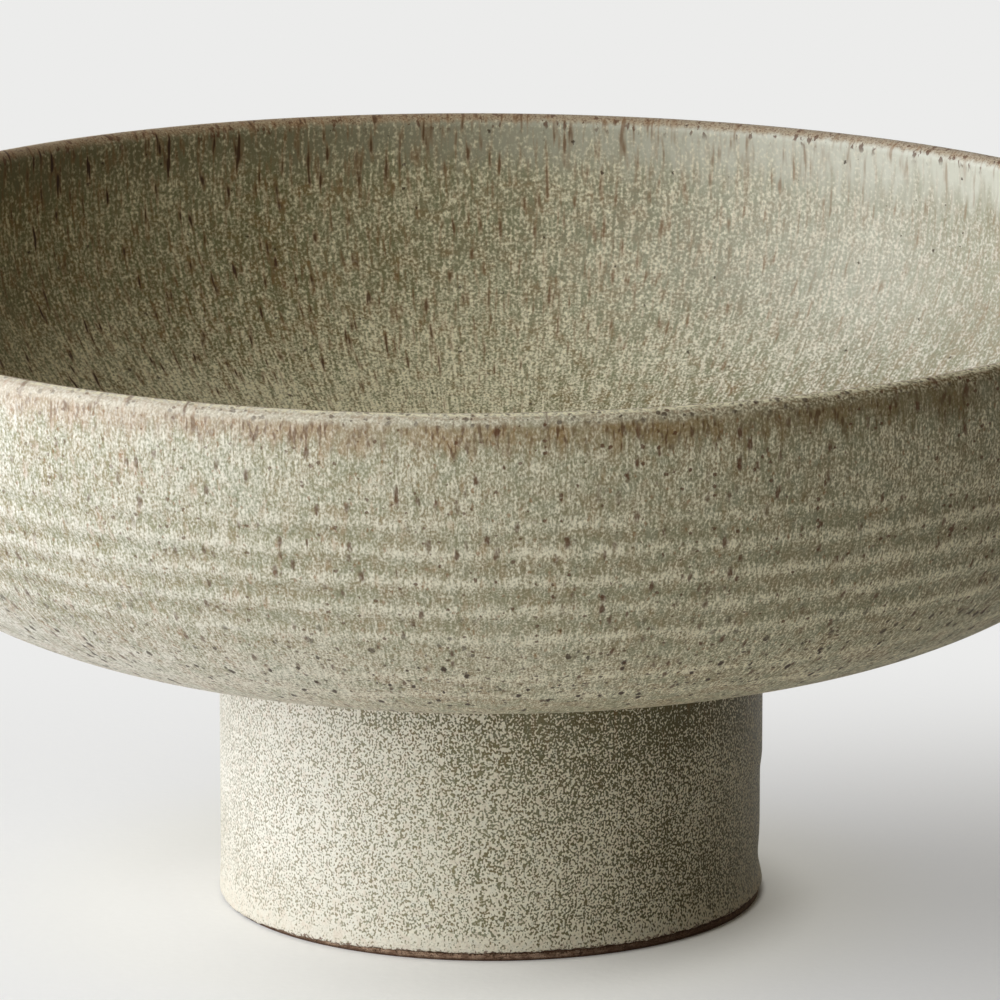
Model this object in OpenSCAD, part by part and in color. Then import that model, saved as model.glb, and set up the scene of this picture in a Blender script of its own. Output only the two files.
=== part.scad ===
// Footed compote bowl: a thrown stoneware bowl luted onto a hollow thrown foot, and glazed.
// The clay pieces, the slip between them and the glaze coats are separate solids.
// Millimetres, +Z up. The origin is the centre of the foot's base.

/* [Bowl] */
// Outside diameter of the bowl, glaze included
bowl_d = 308; // [270:1:350]
// Height of the bowl from its seat on the foot to the top of the lip, glaze included
bowl_h = 80; // [68:1:110]
// Upright stretch of the wall between the belly and the lip
upright_h = 3; // [2:0.5:14]
// Fullness of the belly curve: 2 is an ellipse, a larger number is squarer
belly_power = 2.3; // [2:0.05:3]
// Thickness of the clay at the lip
lip_t = 4.6; // [3:0.1:7]
// Thickness of the clay in the middle of the floor
floor_t = 7; // [5:0.5:12]
// Diameter of the level floor inside the bowl
inside_flat_d = 116; // [80:1:150]

/* [Throwing rings] */
// Number of finger grooves round the outside of the wall
ring_count = 4; // [1:1:5]
// Height of the lowest groove's edge above the seat
ring_lift = 30; // [20:0.5:36]
// Distance from one groove to the next
ring_pitch = 6.6; // [4:0.1:8]
// Depth of the grooves
ring_depth = 0.35; // [0.1:0.05:0.8]

/* [Foot] */
// Outside diameter of the foot, glaze included
foot_d = 117; // [90:1:140]
// Height of the foot from the floor to the bowl's seat
foot_h = 61; // [30:1:100]
// Thickness of the clay wall of the foot
foot_wall = 8; // [5:0.5:14]
// Height of the bare bevelled edge below the glaze
bare_h = 2; // [1:0.1:6]
// Width of the bevels on the base
bevel_w = 1; // [0.4:0.1:2.2]

/* [Joint] */
// Thickness of the slip between the foot and the bowl
slip_t = 0.8; // [0.4:0.1:1.6]
// Size of the slip's coves inside and outside the joint
cove = 3; // [2.4:0.1:6]
// Flat ledge under the bowl that is left outside the cove
ledge = 1; // [0.5:0.1:4]

/* [Glaze] */
// Thickness of the glaze coats
glaze_t = 0.6; // [0.3:0.1:1.2]

/* [Hidden] */
$fn = 96;

// Colours of the fired clay, the slip and the glaze coats
clay_colour = "#7d5a41";
slip_colour = "#94745a";
liner_colour = "#8a876c";
bowl_glaze_colour = "#b3ab92";
foot_glaze_colour = "#aaa68e";

// Bowl: outside and inside radii of the clay, and its heights
bowl_r = bowl_d / 2;
clay_r = bowl_r - glaze_t;
inside_r = clay_r - lip_t;
inside_flat_r = inside_flat_d / 2;
lip_r = lip_t / 2;
lip_z = foot_h + bowl_h - glaze_t - lip_r;
curve_top = lip_z - upright_h;
floor_z = foot_h + floor_t;
ring_z = foot_h + ring_lift;

// Foot: radii of its clay wall, and the bowl's flat underside around it
foot_clay_r = foot_d / 2 - glaze_t;
foot_bore_r = foot_clay_r - foot_wall;
flat_r = foot_clay_r + cove + ledge;

// Steps along the curves, and the angle at which a cove's arc leaves its walls
belly_steps = 20;
groove_steps = 6;
lip_steps = 12;
cove_steps = 8;
edge_steps = 4;
cove_edge_angle = 10;

// Point of an arc about a centre
function arc_point(centre, radius, angle) = centre + radius * [cos(angle), sin(angle)];

// Arc from one angle to another
function arc(centre, radius, from, to, steps) =
    [for (i = [0 : steps]) arc_point(centre, radius, from + (to - from) * i / steps)];

// How far the throwing rings draw the wall in at a height
function groove(z) =
    let (turn = (z - ring_z) / ring_pitch)
    turn < 0 || turn > ring_count ? 0 : ring_depth * (1 - cos(360 * turn)) / 2;

// Quarter of a full curve, level at its start and upright at its end, at an angle from 0 to 90
function belly_point(start, end, angle) =
    [start.x + (end.x - start.x) * pow(sin(angle), 2 / belly_power),
     end.y - (end.y - start.y) * pow(cos(angle), 2 / belly_power)];

// Angle at which that curve reaches a height
function belly_angle(start, end, z) = acos(pow((end.y - z) / (end.y - start.y), belly_power / 2));

// Inside of the wall, from the floor up to the lip; coat is the glaze that lies on it
function inside_curve(coat) =
    let (start = [inside_flat_r, floor_z + coat], end = [inside_r - coat, curve_top])
    [for (i = [0 : belly_steps]) belly_point(start, end, 90 * i / belly_steps)];

// Outside of the wall, from the flat underside up to the lip, with its throwing rings
function outside_curve(coat) =
    let (start = [flat_r, foot_h - coat],
         end = [clay_r + coat, curve_top],
         groove_total = ring_count * groove_steps,
         low = belly_angle(start, end, ring_z),
         high = belly_angle(start, end, ring_z + ring_count * ring_pitch),
         angles = concat(
             [for (i = [0 : belly_steps - 1]) low * i / belly_steps],
             [for (i = [0 : groove_total])
                 belly_angle(start, end, ring_z + ring_count * ring_pitch * i / groove_total)],
             [for (i = [1 : groove_steps]) high + (90 - high) * i / groove_steps]))
    [for (angle = angles)
        let (p = belly_point(start, end, angle))
        [p.x - groove(p.y), p.y]];

// Half of the lip's round, from the wall on one side up to the crown
lip_centre = [clay_r - lip_r, lip_z];
function lip_outside(coat) = arc(lip_centre, lip_r + coat, 0, 90, lip_steps);
function lip_inside(coat) = arc(lip_centre, lip_r + coat, 180, 90, lip_steps);

// Whole outline of each face of the wall, from the bottom to the crown of the lip
function inside_face(coat) = concat(inside_curve(coat), lip_inside(coat));
function outside_face(coat) = concat(outside_curve(coat), lip_outside(coat));

// Cove in the corner of the seat and a wall: side is 1 outside the foot and -1 inside it
function cove_arc(wall_r, ceiling_z, size, side) =
    let (radius = size / cos(cove_edge_angle))
    [for (p = arc([-size, -size], radius, cove_edge_angle, 90 - cove_edge_angle, cove_steps))
        [wall_r - side * p.x, ceiling_z + p.y]];

// Points of a list in the opposite order
function reversed(points) = [for (i = [len(points) - 1 : -1 : 0]) points[i]];

module turned(outline) {
    rotate_extrude() polygon(outline);
}

module bowl() {
    color(clay_colour)
        turned(concat(
            [[0, foot_h]],
            outside_face(0),
            reversed(inside_face(0)),
            [[0, floor_z]]));
}

module pedestal_foot() {
    foot_top = foot_h - slip_t;
    color(clay_colour)
        turned([
            [foot_bore_r + bevel_w, 0],
            [foot_clay_r - bevel_w, 0],
            [foot_clay_r, bare_h],
            [foot_clay_r, foot_top],
            [foot_bore_r, foot_top],
            [foot_bore_r, bare_h]]);
}

module joining_slip() {
    foot_top = foot_h - slip_t;
    color(slip_colour)
        turned(concat(
            [[foot_bore_r, foot_top], [foot_clay_r, foot_top]],
            cove_arc(foot_clay_r, foot_h, cove, 1),
            reversed(cove_arc(foot_bore_r, foot_h, cove, -1))));
}

module liner_glaze() {
    color(liner_colour)
        turned(concat(
            [[0, floor_z]],
            inside_face(0),
            reversed(inside_face(glaze_t)),
            [[0, floor_z + glaze_t]]));
}

module bowl_glaze() {
    cove_end = cove_arc(foot_clay_r, foot_h, cove, 1)[cove_steps];
    coat_end = cove_arc(foot_clay_r + glaze_t, foot_h - glaze_t, cove - glaze_t, 1)[cove_steps];
    color(bowl_glaze_colour)
        turned(concat(
            [cove_end],
            outside_face(0),
            reversed(outside_face(glaze_t)),
            [coat_end]));
}

module foot_glaze() {
    rolled_edge = arc([foot_clay_r, bare_h + glaze_t], glaze_t, -90, 0, edge_steps);
    color(foot_glaze_colour)
        turned(concat(
            rolled_edge,
            cove_arc(foot_clay_r + glaze_t, foot_h - glaze_t, cove - glaze_t, 1),
            reversed(cove_arc(foot_clay_r, foot_h, cove, 1))));
}

bowl();
pedestal_foot();
joining_slip();
liner_glaze();
bowl_glaze();
foot_glaze();
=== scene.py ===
"""Looks of the footed compote bowl: hand-thrown stoneware under a speckled sage glaze."""

import math

import bpy
import numpy as np
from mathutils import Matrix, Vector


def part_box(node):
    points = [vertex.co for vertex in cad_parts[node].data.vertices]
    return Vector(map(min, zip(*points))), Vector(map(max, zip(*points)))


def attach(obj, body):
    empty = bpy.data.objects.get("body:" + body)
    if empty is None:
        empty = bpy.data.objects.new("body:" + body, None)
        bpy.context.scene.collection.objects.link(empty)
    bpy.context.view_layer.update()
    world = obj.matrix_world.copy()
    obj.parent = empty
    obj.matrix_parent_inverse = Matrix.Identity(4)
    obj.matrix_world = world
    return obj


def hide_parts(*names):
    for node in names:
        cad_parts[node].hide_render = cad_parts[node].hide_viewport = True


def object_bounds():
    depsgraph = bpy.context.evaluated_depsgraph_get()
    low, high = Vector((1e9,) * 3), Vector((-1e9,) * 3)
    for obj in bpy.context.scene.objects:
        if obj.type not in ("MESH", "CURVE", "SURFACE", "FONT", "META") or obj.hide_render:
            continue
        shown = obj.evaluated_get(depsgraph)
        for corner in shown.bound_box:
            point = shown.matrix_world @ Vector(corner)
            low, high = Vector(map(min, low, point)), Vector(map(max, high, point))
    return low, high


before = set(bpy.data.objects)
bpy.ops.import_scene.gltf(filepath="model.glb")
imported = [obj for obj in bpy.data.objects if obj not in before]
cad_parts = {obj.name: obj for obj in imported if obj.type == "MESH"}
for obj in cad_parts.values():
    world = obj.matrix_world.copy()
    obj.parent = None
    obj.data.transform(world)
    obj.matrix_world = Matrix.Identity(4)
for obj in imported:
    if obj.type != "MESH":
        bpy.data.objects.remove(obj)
cad_low, cad_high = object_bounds()

MM = 0.001

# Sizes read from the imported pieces
SEAT_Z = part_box("bowl")[0].z
FLOOR_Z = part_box("liner_glaze")[0].z
LIP_TOP = cad_high.z
BOWL_R = cad_high.x
GLAZE_T = SEAT_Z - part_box("bowl_glaze")[0].z
FOOT_CLAY_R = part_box("pedestal_foot")[1].x
FOOT_TOP_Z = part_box("pedestal_foot")[1].z

# Sizes of the wall, the foot and the joint
LIP_T = 4.6 * MM
UPRIGHT_H = 3 * MM
BELLY_POWER = 2.3
INSIDE_FLAT_R = 58 * MM
FOOT_WALL = 8 * MM
BARE_H = 2 * MM
BEVEL_W = 0.4 * MM
COVE = 3 * MM
LEDGE = 1 * MM
COVE_EDGE_ANGLE = 10

# Throwing rings: grooves that fade over a turn, firmest at one angle, and two low bands of glaze
RING_Z = SEAT_Z + 30 * MM
RING_PITCH = 6.6 * MM
RING_COUNT = 4
RING_FADE = (-0.6, 0.4)
RING_DEPTH = 0.45 * MM
RING_UNEVEN = 0.25
RING_FIRM_ANGLE = -2.2
LOW_RINGS = (74.1 * MM, 80.3 * MM)
LOW_RING_H = 1.6 * MM

# How far the thrown clay strays from a true turning
OVAL = 0.1 * MM
OVAL_ANGLE = 0.7
BOWL_ROOM = 0.06 * MM
RIM_ROOM = 1.2 * MM
RIM_SLOPE = (0.35 * MM, -0.2 * MM)
RIM_SWAY = (0.37 * MM, -0.64 * MM)
FOOT_ROOM = 0.35 * MM
FOOT_BLEND = 5 * MM
FOOT_FLARE = 0.3 * MM
SIDE_FLARE = 0.5 * MM
FLARE_H = 8 * MM
SHELF_Z = 29 * MM
SHELF_BLEND = 2.5 * MM
SHELF_DEPTH = 0.45 * MM
PINCH_Z = 8 * MM
PINCH_H = 4 * MM
PINCH_DEPTH = 0.35 * MM

# Lower edge of the foot's glaze: how uneven, how far it ran on one side, its longest run, how far up it shows
EDGE_UNEVEN = 0.35 * MM
EDGE_RUN = 1.7 * MM
EDGE_RUN_MOST = 1.8 * MM
EDGE_BLEND = 3 * MM

# Mesh steps
ROUND_STEPS = 384
FOOT_ROUND_STEPS = 768
HIDDEN_ROUND_STEPS = 192
CURVE_POINTS = 400
FINE_STEP = 1.2 * MM
EDGE_STEP = 0.35 * MM
COARSE_STEP = 4 * MM
SHARP_ANGLE = 40
SAME_POINT = 1e-7

# Camera fitted to the photograph's edges of rim, belly and base
CAMERA_DISTANCE = 2.114
CAMERA_ELEVATION = 13.607
CAMERA_TARGET = (1.9 * MM, 0, 85.55 * MM)
VIEW_DEPTH = 50
FOCAL_PIXELS = 9912
IMAGE_PIXELS = 1000
SENSOR_MM = 36

CLAY_R = BOWL_R - GLAZE_T
INSIDE_R = CLAY_R - LIP_T
LIP_R = LIP_T / 2
LIP_Z = LIP_TOP - GLAZE_T - LIP_R
CURVE_TOP = LIP_Z - UPRIGHT_H
FOOT_BORE_R = FOOT_CLAY_R - FOOT_WALL
FLAT_R = FOOT_CLAY_R + COVE + LEDGE
LIP_CENTRE = (CLAY_R - LIP_R, LIP_Z)


# Outlines: rows of (radius, height)

def arc(centre, radius, start, end, step):
    """Points of an arc between two angles in degrees."""
    count = max(2, math.ceil(abs(math.radians(end - start)) * radius / step))
    angles = np.radians(np.linspace(start, end, count + 1))
    return np.array(centre) + radius * np.stack([np.cos(angles), np.sin(angles)], 1)


def evenly(points, step):
    """The same line with its points about one step apart."""
    points = np.array(points)
    lengths = np.hypot(*np.diff(points, axis=0).T)
    along = np.concatenate([[0], np.cumsum(lengths)])
    places = np.linspace(0, along[-1], max(2, math.ceil(along[-1] / step)) + 1)
    return np.stack([np.interp(places, along, points[:, axis]) for axis in (0, 1)], 1)


def belly_curve(start, end, step):
    """Quarter of a full curve, level at its start and upright at its end."""
    angles = np.radians(np.linspace(0, 90, CURVE_POINTS))
    reach = np.sin(angles) ** (2 / BELLY_POWER)
    drop = np.clip(np.cos(angles), 0, 1) ** (2 / BELLY_POWER)
    radius = start[0] + (end[0] - start[0]) * reach
    height = end[1] - (end[1] - start[1]) * drop
    return evenly(np.stack([radius, height], 1), step)


def joined(*lines):
    """Lines end to end, with each shared point kept once."""
    points = np.concatenate([np.atleast_2d(np.array(line, float)) for line in lines])
    apart = np.hypot(*np.diff(points, axis=0).T) > SAME_POINT
    return points[np.concatenate([[True], apart])]


def outside_face(coat, step):
    """Outside of the bowl's wall, from the flat underside to the crown of the lip."""
    belly = belly_curve((FLAT_R, SEAT_Z - coat), (CLAY_R + coat, CURVE_TOP), step)
    upright = evenly([belly[-1], (CLAY_R + coat, LIP_Z)], step)
    return joined(belly, upright, arc(LIP_CENTRE, LIP_R + coat, 0, 90, EDGE_STEP))


def inside_face(coat, step):
    """Inside of the bowl's wall, from the middle of the floor to the crown of the lip."""
    floor = evenly([(0, FLOOR_Z + coat), (INSIDE_FLAT_R, FLOOR_Z + coat)], step)
    belly = belly_curve(floor[-1], (INSIDE_R - coat, CURVE_TOP), step)
    upright = evenly([belly[-1], (INSIDE_R - coat, LIP_Z)], step)
    return joined(floor, belly, upright, arc(LIP_CENTRE, LIP_R + coat, 180, 90, EDGE_STEP))


def cove_arc(wall_r, ceiling_z, size, side):
    """Cove in the corner of the seat and a wall: side is 1 outside the foot and -1 inside it."""
    radius = size / math.cos(math.radians(COVE_EDGE_ANGLE))
    bend = arc((-size, -size), radius, COVE_EDGE_ANGLE, 90 - COVE_EDGE_ANGLE, EDGE_STEP)
    return np.stack([wall_r - side * bend[:, 0], ceiling_z + bend[:, 1]], 1)


OUTER_COVE = cove_arc(FOOT_CLAY_R, SEAT_Z, COVE, 1)
COATED_COVE = cove_arc(FOOT_CLAY_R + GLAZE_T, SEAT_Z - GLAZE_T, COVE - GLAZE_T, 1)
INNER_COVE = cove_arc(FOOT_BORE_R, SEAT_Z, COVE, -1)


# Shapes: what throwing does to a true turning

def soft_step(values, low, high):
    """0 below low, 1 above high, and a soft step between."""
    share = np.clip((values - low) / (high - low), 0, 1)
    return share * share * (3 - 2 * share)


def rim_lift(cosine, sine, height):
    """How far the uneven rim stands above a true turning. It takes numbers, or wires of a finish."""
    slope = RIM_SLOPE[0] * cosine + RIM_SLOPE[1] * sine
    sway = RIM_SWAY[0] * (2 * cosine * cosine - 1) + RIM_SWAY[1] * (2 * sine * cosine)
    rise = (height - SEAT_Z) / (LIP_TOP - SEAT_Z)
    fade = rise * rise
    return (slope + sway - RIM_ROOM) * (fade * fade)


def ring_groove(angle, height):
    """How far the finger grooves draw the outside of the wall in."""
    turns = (height - RING_Z) / RING_PITCH
    window = soft_step(turns, *RING_FADE) * soft_step(RING_COUNT - turns, *RING_FADE)
    firmness = 1 - RING_UNEVEN * (1 - np.cos(angle - RING_FIRM_ANGLE))
    return RING_DEPTH * firmness * window * (1 - np.cos(2 * np.pi * turns)) / 2


def foot_stray(angle, height):
    """How far the foot's wall stands inside a true turning: one side is stepped, pinched and flared."""
    side = ((1 + np.cos(angle)) / 2) ** 2
    shelf = SHELF_DEPTH * side * (1 - soft_step(height, SHELF_Z - SHELF_BLEND, SHELF_Z + SHELF_BLEND))
    pinch = PINCH_DEPTH * side * np.exp(-((height - PINCH_Z) / PINCH_H) ** 2)
    flare = (FOOT_FLARE + SIDE_FLARE * side) * (1 - soft_step(height, 0, FLARE_H))
    return FOOT_ROOM + shelf + pinch - flare


def uneven(angle):
    """An uneven line round the foot, from about -1 to 1: each wave has a count, a share and a start."""
    waves = ((4, 0.3, 0.3), (11, 0.25, 1.9), (27, 0.2, 4.1), (58, 0.2, 2.7),
             (101, 0.15, 0.8), (163, 0.15, 3.1), (241, 0.15, 5.0))
    return sum(share * np.cos(count * angle + start) for count, share, start in waves)


def edge_drop(angle, height):
    """How far the lower edge of the foot's glaze has run down, or stopped short."""
    near = 1 - soft_step(height, BARE_H, BARE_H + EDGE_BLEND)
    side = (1 - np.cos(angle)) / 2
    run = EDGE_RUN * side ** 3 - EDGE_UNEVEN * uneven(angle)
    return near * np.minimum(run, EDGE_RUN_MOST)


def thrown(points, outside, glaze_edge):
    """Moves turned points by the small strays of a hand-thrown pot."""
    x, y, z = points.T
    radius = np.hypot(x, y)
    angle = np.arctan2(y, x)
    bowl_rise = np.clip((z - SEAT_Z) / (LIP_TOP - SEAT_Z), 0, 1)
    foot_share = 1 - soft_step(z, SEAT_Z - FOOT_BLEND, SEAT_Z)
    stray = OVAL * bowl_rise * (np.cos(2 * angle + OVAL_ANGLE) - 1) - BOWL_ROOM * bowl_rise
    stray -= foot_share * foot_stray(angle, z)
    if outside:
        stray -= ring_groove(angle, z)
    wall = radius > FOOT_BORE_R - COVE
    radius = np.where(wall, radius + stray, radius)
    lift = rim_lift(np.cos(angle), np.sin(angle), np.maximum(z, SEAT_Z))
    if glaze_edge:
        lift -= edge_drop(angle, z)
    return np.stack([radius * np.cos(angle), radius * np.sin(angle), z + lift], 1)


# Pieces: closed meshes turned from an outline

def turning(outline, around):
    """Points and faces of a turned outline, which is a loop, or starts and ends on the axis."""
    poles = outline[0][0] < SAME_POINT
    rows = outline[1:-1] if poles else outline
    angles = 2 * np.pi * np.arange(around) / around
    points = np.stack([
        np.outer(rows[:, 0], np.cos(angles)).ravel(),
        np.outer(rows[:, 0], np.sin(angles)).ravel(),
        np.repeat(rows[:, 1], around),
    ], 1)
    here = np.arange(around)
    after = np.roll(here, -1)
    faces = []
    last_row = len(rows) - 1 if poles else len(rows)
    for row in range(last_row):
        low = row * around
        high = (row + 1) % len(rows) * around
        faces += np.stack([low + here, low + after, high + after, high + here], 1).tolist()
    if poles:
        bottom, top = len(points), len(points) + 1
        points = np.concatenate([points, [(0, 0, outline[0][1]), (0, 0, outline[-1][1])]])
        high = (len(rows) - 1) * around
        faces += [[bottom, b, a] for a, b in zip(here.tolist(), after.tolist())]
        faces += [[top, high + a, high + b] for a, b in zip(here.tolist(), after.tolist())]
    return points, faces


def turned_piece(name, outline, node, finish, around=ROUND_STEPS, outside=False, glaze_edge=False):
    """A closed mesh turned from an outline, with the strays of throwing, in the place of a CAD node."""
    points, faces = turning(outline, around)
    mesh = bpy.data.meshes.new(name)
    mesh.from_pydata(thrown(points, outside, glaze_edge).tolist(), [], faces)
    mesh.validate()
    mesh.shade_smooth()
    mesh.set_sharp_from_angle(angle=math.radians(SHARP_ANGLE))
    mesh.materials.append(finish)
    piece = bpy.data.objects.new(name, mesh)
    bpy.context.scene.collection.objects.link(piece)
    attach(piece, "root")
    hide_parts(node)


def bowl_clay(finish):
    outline = joined(
        (0, SEAT_Z), outside_face(0, COARSE_STEP), inside_face(0, COARSE_STEP)[::-1])
    turned_piece("bowl_clay", outline, "bowl", finish, HIDDEN_ROUND_STEPS)


def foot_clay(finish):
    outer_bevel = [(FOOT_CLAY_R - BEVEL_W, 0), (FOOT_CLAY_R, BARE_H)]
    inner_bevel = [(FOOT_BORE_R, BARE_H), (FOOT_BORE_R + BEVEL_W, 0)]
    outline = joined(
        evenly([inner_bevel[1], outer_bevel[0]], FINE_STEP),
        evenly(outer_bevel, EDGE_STEP),
        evenly([outer_bevel[1], (FOOT_CLAY_R, FOOT_TOP_Z)], COARSE_STEP),
        evenly([(FOOT_BORE_R, FOOT_TOP_Z), inner_bevel[0]], COARSE_STEP),
        evenly(inner_bevel, EDGE_STEP))[:-1]
    turned_piece("foot_clay", outline, "pedestal_foot", finish)


def slip_ring(finish):
    outline = joined(
        (FOOT_BORE_R, FOOT_TOP_Z), (FOOT_CLAY_R, FOOT_TOP_Z), OUTER_COVE, INNER_COVE[::-1])
    turned_piece("slip_ring", outline, "joining_slip", finish, HIDDEN_ROUND_STEPS)


def liner_coat(finish):
    outline = joined(inside_face(0, COARSE_STEP), inside_face(GLAZE_T, FINE_STEP)[::-1])
    turned_piece("liner_coat", outline, "liner_glaze", finish)


def bowl_coat(finish):
    outline = joined(
        OUTER_COVE[-1], outside_face(0, COARSE_STEP),
        outside_face(GLAZE_T, FINE_STEP)[::-1], COATED_COVE[-1])
    turned_piece("bowl_coat", outline, "bowl_glaze", finish, outside=True)


def foot_coat(finish):
    rolled_edge = arc((FOOT_CLAY_R, BARE_H + GLAZE_T), GLAZE_T, -90, 0, EDGE_STEP / 2)
    wall = evenly([rolled_edge[-1], COATED_COVE[0]], FINE_STEP)
    back = evenly([OUTER_COVE[0], (FOOT_CLAY_R, BARE_H)], COARSE_STEP)
    outline = joined(rolled_edge, wall, COATED_COVE, OUTER_COVE[::-1], back)[:-1]
    turned_piece("foot_coat", outline, "foot_glaze", finish,
                 FOOT_ROUND_STEPS, glaze_edge=True)


# Finishes: a small language for shader nodes

class Wire:
    """A socket of a material's nodes. Operators on it add Math nodes, and node() adds any other."""

    def __init__(self, tree, socket=None):
        self.tree = tree
        self.socket = socket

    def node(self, kind, settings, inputs, output=0):
        """Adds a node: its settings are set first, then each input gets a value or a wire."""
        made = self.tree.nodes.new("ShaderNode" + kind)
        for name, value in settings.items():
            setattr(made, name, value)
        for name, value in inputs.items():
            if isinstance(value, Wire):
                self.tree.links.new(value.socket, made.inputs[name])
            else:
                made.inputs[name].default_value = value
        return Wire(self.tree, made.outputs[output])

    def also(self, output):
        """Another output of the node that this wire comes from."""
        return Wire(self.tree, self.socket.node.outputs[output])

    def math(self, operation, *values):
        return self.node("Math", {"operation": operation}, dict(enumerate(values)))

    def __add__(self, other):
        return self.math("ADD", self, other)

    def __radd__(self, other):
        return self.math("ADD", other, self)

    def __sub__(self, other):
        return self.math("SUBTRACT", self, other)

    def __rsub__(self, other):
        return self.math("SUBTRACT", other, self)

    def __mul__(self, other):
        return self.math("MULTIPLY", self, other)

    def __rmul__(self, other):
        return self.math("MULTIPLY", other, self)

    def __truediv__(self, other):
        return self.math("DIVIDE", self, other)

    def __rtruediv__(self, other):
        return self.math("DIVIDE", other, self)

    def step(self, low, high):
        """0 below low, 1 above high, and a soft step between."""
        return self.node("MapRange", {"interpolation_type": "SMOOTHSTEP"},
                         {"Value": self, "From Min": low, "From Max": high})

    def fade(self, low, high):
        """1 below low, 0 above high, and a soft step between."""
        return 1 - self.step(low, high)

    def ragged_fade(self, noise, raggedness, low, high):
        """A fade whose edge a noise moves to and fro over the length of the raggedness."""
        return (self + (noise - 0.5) * raggedness).fade(low, high)

    def cloud(self, size, detail=0.0):
        """Soft noise from 0 to 1 on this vector, with lumps of about twice this size."""
        return self.node("TexNoise", {"noise_dimensions": "3D"},
                         {"Vector": self, "Scale": 1 / size, "Detail": detail, "Roughness": 0.5})

    def mixed(self, share, first, second):
        """The first colour mixed towards the second by a share from 0 to 1."""
        return self.node("Mix", {"data_type": "RGBA"}, {0: share, 6: first, 7: second}, 2)

    def layered(self, ground, *layers):
        """A ground colour with layers laid on it in turn: each is a share from 0 to 1 and a colour."""
        for share, colour in layers:
            ground = self.mixed(share, ground, colour)
        return ground


class Spot:
    """Where a point lies on the pot, as wires of a finish."""

    def __init__(self, sheet, round_r, lean=1):
        self.round_r = round_r
        self.lean = lean
        self.place = sheet.node("TexCoord", {}, {}, "Object")
        x = sheet.node("SeparateXYZ", {}, {"Vector": self.place}, "X")
        y = x.also("Y")
        self.height = x.also("Z")
        self.radius = x.math("SQRT", x * x + y * y)
        self.cosine = x / self.radius
        self.sine = y / self.radius

    def drop_from_lip(self):
        """How far the point lies below the crown of the lip."""
        return LIP_TOP - (self.height - rim_lift(self.cosine, self.sine, self.height))

    def down(self, stretch):
        """The wall unrolled round the pot, with what lies on it drawn out down the wall."""
        run = (self.height + self.radius * self.lean) / stretch
        return run.node("CombineXYZ", {}, {
            "X": self.cosine * self.round_r, "Y": self.sine * self.round_r, "Z": run})


def srgb(red, green, blue):
    """A colour as read from a screen, from 0 to 255, in the units that shaders use."""
    def linear(value):
        value /= 255
        return value / 12.92 if value <= 0.04045 else ((value + 0.055) / 1.055) ** 2.4
    return (linear(red), linear(green), linear(blue), 1.0)


# Colours of the fired glaze and clay
CREAM = srgb(237, 233, 225)
WARM_CREAM = srgb(236, 228, 193)
PALE_SAGE = srgb(168, 162, 144)
SAGE = srgb(150, 146, 115)
TAN = srgb(154, 130, 96)
ROSE = srgb(206, 186, 166)
BLUSH = srgb(182, 144, 122)
OLIVE = srgb(124, 116, 80)
WARM_OLIVE = srgb(134, 110, 66)
COOL_OLIVE = srgb(124, 126, 90)
DEEP_OLIVE = srgb(82, 74, 44)
BLUE_GREEN = srgb(150, 155, 134)
PALE_GREEN = srgb(213, 212, 199)
LIP_TAN = srgb(168, 144, 112)
OCHRE = srgb(164, 122, 66)
RUST = srgb(138, 98, 60)
UMBER = srgb(106, 88, 46)
IRON = srgb(88, 54, 32)
DARK_IRON = srgb(58, 38, 25)
THIN_GLAZE = srgb(198, 189, 170)
CLAY = srgb(132, 104, 84)
PALE_CLAY = srgb(178, 150, 126)
SLIP = srgb(150, 118, 90)
PALE_SLIP = srgb(166, 136, 108)

# Zones of the glaze, from start to end of their soft edge, by drop from the lip, radius or height
HIGH_WALL_DROP = (30 * MM, 66 * MM)
RUN_START_DROP = (6 * MM, 26 * MM)
RUN_END_DROP = (46 * MM, 76 * MM)
LEVEL_FLOOR_R = (50 * MM, 85 * MM)
LOW_BELLY_Z = (74 * MM, 94 * MM)
SPECKED_BELLY_Z = (80 * MM, 104 * MM)
HIGH_FOOT_Z = (30 * MM, 62 * MM)
LOW_FOOT_Z = (3 * MM, 28 * MM)

# Sides of the pot in the same way, by the cosine of the angle round it, from -1 at its left to 1 at its
# right. The lamp stands on the left, so the outside is lit on its left and the inside on its right, and the
# far side is the side away from the lamp.
LIT_INSIDE = (-0.6, 0.9)
BRIGHTEST_INSIDE = (0.56, 0.78)
FAR_SIDE = (-0.35, 0.75)
LAMP_SIDE = (-0.75, 0.15)
# The side away from the lamp, where the cream crystals get a painted warm tint of shade
WARM_SHADE_SIDE = (-0.9, 0.5)

# Where the bands of glaze on the throwing rings start and end, in turns, and how strong the low ones are
BAND_START = (-0.9, 0.1)
BAND_END = (RING_COUNT - 0.6, RING_COUNT + 0.8)
LOW_BAND = 0.9

# How much a point's radius counts, beside its height, in its way down the outside wall
OUTSIDE_LEAN = 0.5

# How far a noise level moves for each share of a surface that it covers
COVER_SPREAD = 0.3

# Where a speck has faded out: this many times its reach, and a little further, in spacings
SPECK_END = 1.1
SPECK_BLUR = 0.02

# Share of the usual mirror reflection that the satin glaze and the clay have
SHEEN = 0.16


def new_finish(name):
    """An empty material with a soft sheen: it, its Principled shader, and a wire that adds nodes to it."""
    material = bpy.data.materials.new(name)
    material.use_nodes = True
    shader = material.node_tree.nodes["Principled BSDF"]
    shader.inputs["Specular IOR Level"].default_value = SHEEN
    return material, shader, Wire(material.node_tree)


def dress(shader, sheet, colour, roughness, height):
    """Feeds a finish's colour, roughness and relief in metres to its shader."""
    relief = sheet.node("Bump", {}, {"Strength": 1.0, "Distance": 1.0, "Height": height})
    for name, wire in (("Base Color", colour), ("Roughness", roughness), ("Normal", relief)):
        sheet.tree.links.new(wire.socket, shader.inputs[name])


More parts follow.
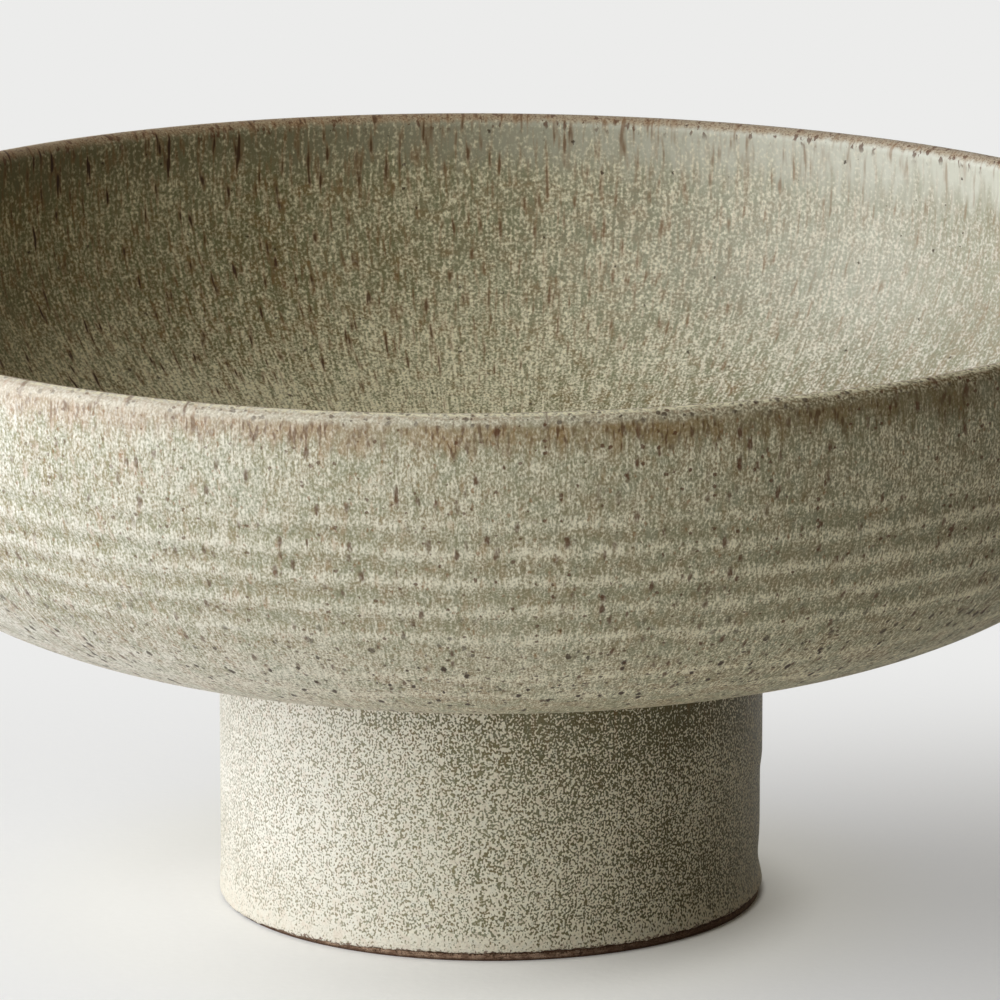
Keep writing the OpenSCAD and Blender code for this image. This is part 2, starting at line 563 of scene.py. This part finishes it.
def crystals(tone, cover, softness):
    """Cream crystals where a noise stands high: cover is the share of the glaze that they fill."""
    level = 0.5 + COVER_SPREAD * (0.5 - cover)
    return tone.step(level - softness, level + softness)


def specks(vector, spacing, size, share, core=0.6, raggedness=1.0):
    """Scattered ragged specks up to a size: 1 in a speck's core. Only a share of the places has one."""
    stray = vector.node("TexNoise", {}, {"Vector": vector, "Scale": 2 / size, "Detail": 1.0}, "Color")
    ragged = vector.node("VectorMath", {"operation": "MULTIPLY_ADD"},
                         {0: stray, 1: (raggedness * size,) * 3, 2: vector})
    away = vector.node("TexVoronoi", {"feature": "F1"},
                       {"Vector": ragged, "Scale": 1 / spacing, "Randomness": 1.0}, "Distance")
    chance = away.node("SeparateColor", {}, {"Color": away.also("Color")}, "Red")
    reach = chance.step(1 - share, 1) * (size / 2 / spacing)
    return away.fade(core * reach, SPECK_END * reach + SPECK_BLUR)


def tints(vector, size, share, cool, warm):
    """Two layers that lean a ground to a cooler colour in some patches and to a warmer one in others."""
    tint = vector.cloud(size, 1.0)
    return (tint.step(0.5, 0.68) * share, cool), (tint.fade(0.32, 0.5) * share, warm)


def ring_bands(height):
    """Throwing rings by height: 1 on a narrow crest, below 0 in a groove, and 0 away from the rings."""
    turns = (height - RING_Z) / RING_PITCH
    window = turns.step(*BAND_START) * turns.fade(*BAND_END)
    crest = 0.5 + 0.5 * turns.math("COSINE", turns * (2 * math.pi))
    bands = window * (1.5 * crest * crest - 0.5)
    for low_ring in LOW_RINGS:
        gap = height.math("ABSOLUTE", height - low_ring)
        bands = bands + LOW_BAND * gap.fade(0, LOW_RING_H)
    return bands


# Clay and slip

def bare_clay():
    """Fired stoneware: brown, gritty, with dark iron specks. It is darker on the side away from the lamp,
    which is painted shade. It is also dark at the edge that it stands on and under the glaze's edge, partly
    dark iron and partly painted shadow.
    """
    material, shader, sheet = new_finish("bare_clay")
    spot = Spot(sheet, FOOT_CLAY_R)
    mottle = spot.place.cloud(2.5 * MM, 3.0)
    grit = spot.place.cloud(0.35 * MM, 2.0)
    scratch = spot.down(0.12).cloud(1.4 * MM, 2.0)
    iron = specks(spot.place, 1.3 * MM, 0.9 * MM, 0.6)
    level = spot.height + (grit - 0.5) * (1.2 * MM)
    # Dark lines at the base and under the glaze's edge: partly dark iron, partly painted shadow
    iron_and_shadow_edges = 1 - level.step(0.2 * MM, 0.7 * MM) * level.fade(1.2 * MM, 1.7 * MM)
    body = sheet.layered(
        CLAY,
        (mottle.step(0.35, 0.65), PALE_CLAY),
        (scratch.step(0.48, 0.6) * 0.55, DARK_IRON),
        (grit.step(0.48, 0.65) * 0.65, DARK_IRON),
        (iron * 0.85, DARK_IRON),
        # Painted shade: the clay darkens towards the side away from the lamp
        (spot.cosine.step(0, 0.7) * 0.5, DARK_IRON),
        (iron_and_shadow_edges * 0.85, DARK_IRON))
    relief = grit * (0.12 * MM) + mottle * (0.15 * MM) - scratch * (0.08 * MM) - iron * (0.05 * MM)
    dress(shader, sheet, body, 0.7 + 0.25 * grit, relief)
    return material


def joining_slip():
    """Slip wiped round the joint with a finger."""
    material, shader, sheet = new_finish("joining_slip")
    spot = Spot(sheet, FOOT_CLAY_R)
    wiped = spot.down(0.12).cloud(3 * MM, 2.0)
    grit = spot.place.cloud(0.5 * MM, 2.0)
    body = sheet.layered(
        SLIP,
        (wiped.step(0.3, 0.7), PALE_SLIP),
        (grit.step(0.6, 0.8) * 0.4, DARK_IRON))
    dress(shader, sheet, body, 0.7 + 0.2 * grit, wiped * (0.2 * MM) + grit * (0.05 * MM))
    return material


# Glaze inside the bowl

class InnerWall(Spot):
    """The inside of the bowl: the noises that mottle its glaze, and its zones from 0 to 1."""

    def __init__(self, sheet):
        super().__init__(sheet, BOWL_R)
        self.drop = self.drop_from_lip()
        self.broad = self.place.cloud(28 * MM, 1.0)
        self.patch = self.place.cloud(9 * MM, 1.0)
        self.dust = self.place.cloud(0.42 * MM, 1.0)
        self.streak = self.down(9).cloud(0.9 * MM, 1.0)
        self.lit_side = self.cosine.step(*LIT_INSIDE)
        self.lamp_side = self.lit_side * self.lit_side
        self.brightest = self.cosine.step(*BRIGHTEST_INSIDE)
        self.high_wall = self.drop.fade(*HIGH_WALL_DROP)
        self.level_floor = self.radius.fade(*LEVEL_FLOOR_R)
        fringe = self.down(5).cloud(2.2 * MM, 2.0)
        self.smooth = self.drop.ragged_fade(fringe, 20 * MM, 5 * MM, 17 * MM)
        self.lip = self.drop.ragged_fade(fringe, 2 * MM, 0.8 * MM, 2.2 * MM)


def liner_crystals(wall):
    """Fine cream crystals: strokes down the wall, and dots on the level floor. Low down they are denser on
    the side away from the lamp, which is painted light in its shade. They thin where the lamp shines
    brightest, which is painted shade.
    """
    strokes = 0.62 * wall.down(1.2).cloud(0.72 * MM, 1.0) + 0.38 * wall.streak
    dots = 0.15 + 0.7 * wall.place.cloud(0.6 * MM, 1.0)
    tone = strokes + wall.level_floor * (dots - strokes)
    cover = 0.46 + 0.2 * (wall.broad - 0.5) + 0.2 * (wall.patch - 0.5) + 0.06 * wall.cosine
    # Painted light and shade: more crystals low on the side away from the lamp, fewer on the lit side
    low_cover = 0.25 - 0.58 * wall.lit_side + 0.26 * wall.lamp_side
    cover = cover + low_cover * (1 - wall.high_wall) - 0.11 * wall.high_wall - 0.25 * wall.smooth
    # Painted shade: fewer crystals where the lamp shines brightest
    crystal = crystals(tone, cover - 0.08 * wall.brightest, 0.16)
    crystal = crystal * (0.6 + 0.4 * crystal) * (1 - 0.5 * wall.lip)
    # Painted shade: crystals faded on the most lit high wall and on the lit smooth band
    most_lit_wall = wall.lamp_side * wall.lamp_side * wall.high_wall
    return crystal * (1 - 0.25 * most_lit_wall - 0.3 * wall.lamp_side * wall.smooth)


def liner_ground(sheet, wall):
    """Olive glaze under the crystals, with a smooth band under the lip and a tan lip. It is darker olive on
    the side away from the lamp, which is painted shade, and pale green on the lit side, which is painted
    light.
    """
    painted_shade_side = 1 - wall.lit_side
    painted_light_share = wall.lamp_side * (0.06 + 0.56 * wall.high_wall) * (1 - 0.5 * wall.brightest)
    return sheet.layered(
        OLIVE,
        (wall.broad.step(0.35, 0.65) * 0.6, SAGE),
        *tints(wall.place, 3.2 * MM, 0.6, COOL_OLIVE, WARM_OLIVE),
        (wall.dust.step(0.48, 0.75) * 0.5, DEEP_OLIVE),
        (wall.smooth * 0.7, SAGE),
        # Painted shade: darker olive on the side away from the lamp
        (painted_shade_side * (0.15 * wall.high_wall + 0.4 * wall.smooth), DEEP_OLIVE),
        # Painted light: pale green on the lit side, on the high wall and on the smooth band
        (painted_light_share, PALE_GREEN),
        (wall.smooth * wall.lit_side * (0.4 + 0.5 * wall.lit_side), PALE_GREEN),
        (wall.lip * 0.7, LIP_TAN),
        (wall.lip * wall.dust.step(0.45, 0.65) * 0.6, IRON))


def liner_iron(sheet, wall):
    """Layers of iron: faint streaks, and runs down the wall with their trails. The runs are dark iron on the
    side away from the lamp and rust on the lit side, which is painted shade.
    """
    runs = wall.down(6).cloud(1.25 * MM, 1.0) + 0.03 * wall.drop.fade(*RUN_START_DROP)
    runs = runs - 0.12 * wall.drop.step(*RUN_END_DROP) - 0.02 * wall.lit_side
    faint_run = wall.streak.step(0.5, 0.75) * (0.2 + 0.5 * wall.high_wall) * (1 - wall.level_floor)
    trail = runs.step(0.52, 0.68) * (0.45 - 0.3 * wall.lit_side)
    iron_run = runs.step(0.64, 0.77) * (1 - 0.65 * wall.lit_side)
    return (
        (faint_run * 0.25, RUST),
        (trail, RUST),
        # Painted shade: the runs are dark iron away from the lamp and rust on the lit side
        (iron_run, sheet.mixed(wall.lit_side, DARK_IRON, RUST)))


def liner_glaze():
    """Inside of the bowl: fine cream crystals on olive, iron runs, and a smooth band under the lip."""
    material, shader, sheet = new_finish("liner_glaze")
    wall = InnerWall(sheet)
    crystal = liner_crystals(wall)
    # Painted shade: the cream turns warmer on the side away from the lamp
    cream = sheet.mixed(wall.lamp_side * 0.8, WARM_CREAM, CREAM)
    pits = specks(wall.place, 3.2 * MM, 0.9 * MM, 0.4)
    lip_specks = specks(wall.down(2), 1.5 * MM, 1.4 * MM, 0.8) * wall.drop.fade(2 * MM, 5 * MM)
    colour = sheet.layered(
        liner_ground(sheet, wall),
        (crystal, cream),
        *liner_iron(sheet, wall),
        (pits * 0.8, DARK_IRON),
        (lip_specks * 0.8, IRON))
    swell = wall.place.cloud(5 * MM, 1.0)
    relief = crystal * (0.04 * MM) + swell * (0.16 * MM) - pits * (0.1 * MM)
    dress(shader, sheet, colour, 0.46 + 0.14 * crystal, relief)
    return material


# Glaze outside the bowl

class OuterWall(Spot):
    """The outside of the bowl: the noises that mottle its glaze, and its zones from 0 to 1."""

    def __init__(self, sheet):
        super().__init__(sheet, BOWL_R, OUTSIDE_LEAN)
        self.drop = self.drop_from_lip()
        self.broad = self.place.cloud(26 * MM, 1.0)
        self.patch = self.place.cloud(7 * MM, 1.0)
        self.dust = self.place.cloud(0.36 * MM, 1.0)
        self.clot = self.place.cloud(0.95 * MM, 1.0)
        self.gather = self.down(1.2).cloud(8 * MM, 2.0).step(0.3, 0.6)
        self.far_side = self.cosine.step(*FAR_SIDE)
        self.lamp_side = self.cosine.fade(*LAMP_SIDE)
        self.low_belly = self.height.fade(*LOW_BELLY_Z)
        fringe = self.down(5).cloud(1.8 * MM, 2.0)
        self.lip = self.drop.ragged_fade(fringe, 3 * MM, 1.2 * MM, 3.2 * MM)
        self.shoulder = self.drop.ragged_fade(fringe, 14 * MM, 4 * MM, 10 * MM)
        self.below_lip = self.shoulder * (1 - self.lip)


def wall_crystals(wall):
    """Dense cream crystals drawn down the wall, thickest on the crests of the throwing rings. They are fewer
    on the far side from the lamp and brighter on the lamp's side, which paints shade and light.
    """
    streak = wall.down(5).cloud(0.6 * MM, 1.0)
    strokes = 0.65 * wall.down(1.5).cloud(0.44 * MM, 1.0) + 0.35 * streak
    dots = wall.place.cloud(0.5 * MM, 1.0)
    tone = strokes + wall.lip * (dots - strokes) + 0.35 * wall.low_belly * (wall.clot - 0.5)
    rings = ring_bands(wall.height + (wall.broad - 0.5) * (3 * MM))
    rings = rings * (0.85 + 0.3 * wall.patch.step(0.3, 0.7)) * (1 - 0.4 * wall.lamp_side)
    cover = 0.5 + 0.3 * (wall.broad - 0.5) + 0.3 * (wall.patch - 0.5) + 0.26 * rings
    # Painted light and shade: more crystals low on the lamp's side, fewer on the far side
    cover = cover + (0.2 * wall.low_belly - 0.05) * wall.lamp_side
    cover = cover - 0.1 * wall.far_side - 0.15 * wall.below_lip
    crystal = crystals(tone, cover, 0.2 - 0.05 * wall.far_side)
    # Painted light: crystals brighter on the lamp's side
    crystal = crystal * (0.6 + 0.4 * crystal + 0.4 * wall.lamp_side * (1 - crystal))
    return crystal * (1 - (0.2 + 0.3 * wall.lamp_side) * wall.lip)


def wall_ground(sheet, wall):
    """Sage glaze under the crystals, rosy below the lip on the lamp's side, and thin on the lip. The far side
    from the lamp is darkened with olive, and its lip with umber, which is painted shade.
    """
    return sheet.layered(
        SAGE,
        (wall.patch.step(0.4, 0.65) * (0.3 + 0.5 * wall.low_belly), TAN),
        (wall.broad.step(0.52, 0.72) * 0.35, BLUE_GREEN),
        *tints(wall.place, 3 * MM, 0.3, BLUE_GREEN, TAN),
        (wall.shoulder * wall.lamp_side * 0.6, ROSE),
        # Olive dust, denser on the far side from the lamp, where it is partly painted shade
        (wall.dust.step(0.48, 0.8) * (0.35 + 0.3 * wall.far_side), DEEP_OLIVE),
        # Painted shade on the far side from the lamp
        (wall.far_side * 0.2, DEEP_OLIVE),
        # Painted shade: the lip is pale thin glaze towards the lamp and umber on the far side
        (wall.lip * (0.6 - 0.55 * wall.far_side), THIN_GLAZE),
        (wall.lip * wall.far_side * wall.far_side * 0.75, UMBER))


def lip_wear(wall, stain):
    """Layers at the lip: a stained wash below it that is stronger on the far side from the lamp, partly
    painted shade, then a painted highlight on the crest at the front, and a rust line under the crest.
    """
    # The wash is stronger on the far side from the lamp: partly stain, partly painted shade
    wash = wall.below_lip * (0.14 + 0.6 * wall.gather + 0.2 * wall.far_side) * (1 - 0.75 * wall.lamp_side)
    # Painted highlight: a pale line along the crest of the lip, only at the front
    front = wall.sine.fade(-0.3, 0.3)
    broken = wall.clot.step(0.4, 0.6)
    crest = wall.drop.fade(0.2 * MM, 0.7 * MM) * front * (0.1 + 0.9 * broken)
    line = wall.lip * wall.drop.step(0.3 * MM, 0.6 * MM) * wall.drop.fade(0.7 * MM, 1.4 * MM) * broken
    return (wash * 0.65, stain), (crest * 0.9, WARM_CREAM), (line * 0.3, RUST)


def wall_iron(sheet, wall, stain):
    """Layers of iron: fine specks, stained halos, drips below the lip, long specks and specks low down."""
    fine_specks = specks(wall.down(1.8), 1.05 * MM, 0.75 * MM, 0.4) * (1 - wall.lip)
    clusters = 0.4 + 0.6 * wall.place.cloud(6 * MM, 2.0).step(0.4, 0.55)
    halos = specks(wall.down(2.4), 2 * MM, 2.6 * MM, 0.55, core=0.2) * clusters
    drips = wall.down(3.5).cloud(0.75 * MM, 0.8).step(0.51, 0.65) * wall.below_lip * wall.gather
    drip_colour = sheet.mixed(wall.far_side * 0.5, IRON, DEEP_OLIVE)
    long_specks = specks(wall.down(2.4), 2 * MM, 1.5 * MM, 0.7, core=0.45, raggedness=0.6) * clusters
    low_specks = specks(wall.down(1.5), 2.6 * MM, 1.65 * MM, 0.75, core=0.75, raggedness=0.5)
    low_specks = low_specks * wall.height.fade(*SPECKED_BELLY_Z)
    return (
        (fine_specks * 0.55, RUST),
        (halos * 0.35, stain),
        (drips * (0.85 - 0.5 * wall.lamp_side), drip_colour),
        (long_specks * (0.85 - 0.25 * wall.lamp_side), IRON),
        (low_specks * (0.95 - 0.15 * wall.lamp_side), DARK_IRON))


def bowl_glaze():
    """Outside of the bowl: dense cream crystals drawn down the wall, throwing rings and iron specks."""
    material, shader, sheet = new_finish("bowl_glaze")
    wall = OuterWall(sheet)
    crystal = wall_crystals(wall)
    # Painted shade: the cream turns warmer towards the far side from the lamp
    cream = sheet.mixed(0.1 + 0.8 * wall.cosine.step(*WARM_SHADE_SIDE), CREAM, WARM_CREAM)
    # The stain is umber on the far side from the lamp, partly painted shade, and blush on the lamp's side
    stain = sheet.mixed(wall.lamp_side, sheet.mixed(wall.far_side, OCHRE, UMBER), BLUSH)
    speck_share = 0.35 + 0.35 * wall.low_belly
    small_specks = specks(wall.place, 1.6 * MM, 1 * MM, speck_share, core=0.7, raggedness=0.6)
    small_specks = small_specks * (1 - 0.4 * wall.lamp_side)
    lip_specks = specks(wall.place, 1.4 * MM, 1.4 * MM, 0.75, core=0.6, raggedness=0.6)
    lip_specks = lip_specks * wall.lip * (1 - 0.5 * wall.lamp_side)
    colour = sheet.layered(
        wall_ground(sheet, wall),
        (crystal * 0.95, cream),
        *lip_wear(wall, stain),
        *wall_iron(sheet, wall, stain),
        (small_specks * 0.8, sheet.mixed(wall.low_belly, IRON, DARK_IRON)),
        (lip_specks * 0.75, DARK_IRON))
    swell = wall.place.cloud(4 * MM, 1.0)
    relief = crystal * (0.05 * MM) + swell * (0.14 * MM) - small_specks * (0.05 * MM)
    dress(shader, sheet, colour, 0.5 + 0.12 * crystal, relief)
    return material


# Glaze outside the foot

class FootWall(Spot):
    """The outside of the foot: the noises that mottle its glaze, and its zones from 0 to 1."""

    def __init__(self, sheet):
        super().__init__(sheet, FOOT_CLAY_R)
        self.patch = self.place.cloud(5 * MM, 1.0)
        self.dust = self.place.cloud(0.4 * MM, 1.0)
        self.far_side = self.cosine.step(*FAR_SIDE)
        self.high = self.height.step(*HIGH_FOOT_Z)
        self.low = self.height.fade(*LOW_FOOT_Z)
        self.bottom = self.height.ragged_fade(self.patch, 4 * MM, 2 * MM, 7 * MM)


def foot_crystals(wall):
    """Crisp cream crystals, dense on the left towards the lamp and along the bottom. They thin out high up
    and on the far side from the lamp, partly the glaze's own spread and partly painted shade.
    """
    tone = wall.down(1.15).cloud(0.43 * MM, 0.6)
    broad = wall.place.cloud(14 * MM, 1.0)
    streak = wall.down(4).cloud(3.5 * MM, 1.0)
    # Fewer crystals on the far side and high up under the bowl: partly the glaze's spread, partly painted
    # shade
    cover = 0.67 - 0.22 * wall.far_side - 0.37 * wall.high * wall.cosine.step(-0.8, 0.1)
    cover = cover + 0.35 * (broad - 0.5) + 0.35 * (streak - 0.5)
    return crystals(tone, cover + 0.38 * wall.bottom, 0.07)


def foot_ground(sheet, wall):
    """Sage glaze under the crystals, with rusty stains high up. It is paler on the side towards the lamp,
    which is painted light. It is darker high up under the bowl and on the far side from the lamp, which is
    painted shade.
    """
    # Painted shade: the bowl's shadow high on the foot, and the side away from the lamp
    painted_shadow_high = wall.high * wall.cosine.step(-0.9, 0) * 0.55
    painted_foot_shade = painted_shadow_high.math("MAXIMUM", painted_shadow_high, wall.far_side * 0.85)
    stain = wall.down(5).cloud(2.5 * MM, 1.0).step(0.58, 0.78) * wall.high
    return sheet.layered(
        SAGE,
        (wall.patch.step(0.4, 0.65) * 0.6, OLIVE),
        *tints(wall.place, 2.4 * MM, 0.4, BLUE_GREEN, TAN),
        (wall.dust.step(0.45, 0.75) * 0.5, DEEP_OLIVE),
        # Painted light: a paler ground on the side towards the lamp
        (0.75 - 0.75 * wall.cosine.step(-1, 0), PALE_SAGE),
        (painted_foot_shade, DEEP_OLIVE),
        (stain * 0.5, RUST))


def foot_cream(sheet, wall):
    """Colour of the crystals: warmer on the right, away from the lamp, which is a painted warm tint of shade.
    Thin glaze low down, and duller low on the side towards the lamp, which is painted shade.
    """
    return sheet.layered(
        CREAM,
        # Painted shade: a warmer cream on the side away from the lamp
        (0.1 + 0.6 * wall.cosine.step(*WARM_SHADE_SIDE), WARM_CREAM),
        (wall.bottom * (0.15 + 0.6 * wall.dust.step(0.35, 0.75)), THIN_GLAZE),
        # Painted shade: duller cream low on the side towards the lamp
        (wall.low * wall.cosine.fade(-0.9, -0.2) * 0.4, THIN_GLAZE),
        *tints(wall.place, 1.6 * MM, 0.3, PALE_GREEN, ROSE))


def burnt_and_shadowed_edge(wall):
    """A dark line in nibs at the lower edge of the glaze, apart from the side where it ran down most. It is
    partly iron flashed in the firing and partly painted shadow under the rolled edge.
    """
    run_side = 0.5 - 0.5 * wall.cosine
    above_edge = wall.height + EDGE_RUN * run_side * run_side * run_side - BARE_H
    nibs = wall.place.cloud(0.7 * MM, 3.0)
    # Partly flashed iron, partly painted shadow under the rolled edge of the glaze
    return above_edge.ragged_fade(nibs, 4.5 * MM, 0, 0.3 * MM) * wall.cosine.step(-1, -0.7)


def foot_glaze():
    """Outside of the foot: crisp cream crystals, dense on one side, and smooth at the rolled edge."""
    material, shader, sheet = new_finish("foot_glaze")
    wall = FootWall(sheet)
    crystal = foot_crystals(wall)
    pits = specks(wall.place, 2.6 * MM, 0.8 * MM, 0.3)
    colour = sheet.layered(
        foot_ground(sheet, wall),
        (crystal * 0.95, foot_cream(sheet, wall)),
        (pits * 0.6, IRON),
        (burnt_and_shadowed_edge(wall) * 0.8, IRON))
    swell = wall.place.cloud(4 * MM, 1.0)
    relief = crystal * (0.045 * MM) + swell * (0.12 * MM)
    dress(shader, sheet, colour, 0.46 + 0.14 * crystal, relief)
    return material


# Stage: floor, light and camera

BACKGROUND = srgb(236, 236, 235)
PAPER = srgb(240, 239, 238)
PALE_PAPER = srgb(244, 243, 242)
PAPER_GRAIN = 2 * MM
FLOOR_REACH = 8

# Share of the even background that the camera sees in the pot's shadow, and what is left of it at the foot
FLOOR_LIFT = 0.42
CONTACT_LIFT = 0.42

# The shadow at the foot: its width, its centre, the width of its dark line, its tint and how far that reaches
CONTACT_SHADOW = 25 * MM
CONTACT_CENTRE = (-9 * MM, -11 * MM, 0)
CONTACT_LINE = 1.5 * MM
SHADOW_TINT = srgb(236, 234, 224)
SHADOW_TINT_W = 60 * MM

# Where the floor turns into the even background: behind the pot's axis, and all round it
EVEN_BEHIND = (-20 * MM, 220 * MM)
EVEN_AROUND = (300 * MM, 800 * MM)

# One large soft lamp high on the left, and a weak warm fill
LAMP_PLACE = (-1.18, -0.4, 0.8)
LAMP_AIM = (0, -0.1, 0.4)
LAMP_SIZE = (2.2, 1.5)
LAMP_COLOUR = (0.97, 1.008, 1.05)
LAMP_POWER = 41
FILL_COLOUR = srgb(255, 218, 158)
FILL_STRENGTH = 0.06


def seen_as_backdrop(sheet):
    """1 for rays by which the camera sees a surface, straight or in a gloss, and 0 for rays of light."""
    ray = sheet.node("LightPath", {}, {}, "Is Camera Ray")
    seen = ray.math("MAXIMUM", ray, ray.also("Is Glossy Ray"))
    return seen.math("MAXIMUM", seen, ray.also("Is Transmission Ray"))


def floor_paper():
    """Pale paper. The camera sees an even background far from the pot, and the pot's shadow near it."""
    material, shader, sheet = new_finish("pale_floor")
    place = sheet.node("TexCoord", {}, {}, "Object")
    grain = place.cloud(PAPER_GRAIN, 2.0)
    colour = sheet.mixed(grain, PAPER, PALE_PAPER)
    dress(shader, sheet, colour, 0.8 + 0.1 * grain, grain * (0.05 * MM))
    away = sheet.node("VectorMath", {"operation": "LENGTH"}, {0: place}, "Value")
    aside = sheet.node("VectorMath", {"operation": "DISTANCE"}, {0: place, 1: CONTACT_CENTRE}, "Value")
    behind = sheet.node("SeparateXYZ", {}, {"Vector": place}, "Y")
    close = away.step(FOOT_CLAY_R - BEVEL_W, FOOT_CLAY_R + CONTACT_LINE)
    near = aside.step(FOOT_CLAY_R, FOOT_CLAY_R + CONTACT_SHADOW)
    far = away.math("MAXIMUM", behind.step(*EVEN_BEHIND), away.step(*EVEN_AROUND))
    even = FLOOR_LIFT * close * (CONTACT_LIFT + (1 - CONTACT_LIFT) * near) + (1 - FLOOR_LIFT) * far
    tint = sheet.mixed(aside.step(FOOT_CLAY_R, FOOT_CLAY_R + SHADOW_TINT_W), SHADOW_TINT, BACKGROUND)
    glow = sheet.node("Emission", {}, {"Color": tint, "Strength": 1.0})
    both = sheet.node("MixShader", {}, {0: seen_as_backdrop(sheet) * even, 2: glow})
    sheet.tree.links.new(shader.outputs[0], both.socket.node.inputs[1])
    sheet.tree.links.new(both.socket, sheet.tree.nodes["Material Output"].inputs["Surface"])
    return material


def pale_floor():
    reach = FLOOR_REACH
    corners = [(-reach, -reach, 0), (reach, -reach, 0), (reach, reach, 0), (-reach, reach, 0)]
    mesh = bpy.data.meshes.new("pale_floor")
    mesh.from_pydata(corners, [], [(0, 1, 2, 3)])
    mesh.materials.append(floor_paper())
    floor = bpy.data.objects.new("pale_floor", mesh)
    bpy.context.scene.collection.objects.link(floor)


def soft_light():
    lamp = bpy.data.lights.new("window", "AREA")
    lamp.shape = "RECTANGLE"
    lamp.size, lamp.size_y = LAMP_SIZE
    lamp.color = LAMP_COLOUR
    lamp.energy = LAMP_POWER
    holder = bpy.data.objects.new("window", lamp)
    holder.location = LAMP_PLACE
    way = holder.location - Vector(LAMP_AIM)
    holder.rotation_euler = way.to_track_quat("Z", "Y").to_euler()
    bpy.context.scene.collection.objects.link(holder)


def room():
    """Even fill light, and a pale background where nothing else is seen."""
    world = bpy.data.worlds.new("room")
    world.use_nodes = True
    sheet = Wire(world.node_tree)
    world.node_tree.nodes.remove(world.node_tree.nodes["Background"])
    fill = sheet.node("Background", {}, {"Color": FILL_COLOUR, "Strength": FILL_STRENGTH})
    backdrop = sheet.node("Background", {}, {"Color": BACKGROUND, "Strength": 1.0})
    both = sheet.node("MixShader", {}, {0: seen_as_backdrop(sheet), 1: fill, 2: backdrop})
    world.node_tree.links.new(both.socket, world.node_tree.nodes["World Output"].inputs["Surface"])
    bpy.context.scene.world = world


def camera():
    lens = bpy.data.cameras.new("camera")
    lens.sensor_width = SENSOR_MM
    lens.lens = SENSOR_MM * FOCAL_PIXELS / IMAGE_PIXELS
    lens.clip_end = VIEW_DEPTH
    holder = bpy.data.objects.new("camera", lens)
    tilt = math.radians(CAMERA_ELEVATION)
    back = Vector((0, -math.cos(tilt), math.sin(tilt)))
    holder.location = Vector(CAMERA_TARGET) + CAMERA_DISTANCE * back
    holder.rotation_euler = (math.pi / 2 - tilt, 0, 0)
    bpy.context.scene.collection.objects.link(holder)
    bpy.context.scene.camera = holder


camera()
pale_floor()
room()
soft_light()
bpy.context.scene.view_settings.view_transform = "Standard"

clay = bare_clay()
bowl_clay(clay)
foot_clay(clay)
slip_ring(joining_slip())
liner_coat(liner_glaze())
bowl_coat(bowl_glaze())
foot_coat(foot_glaze())
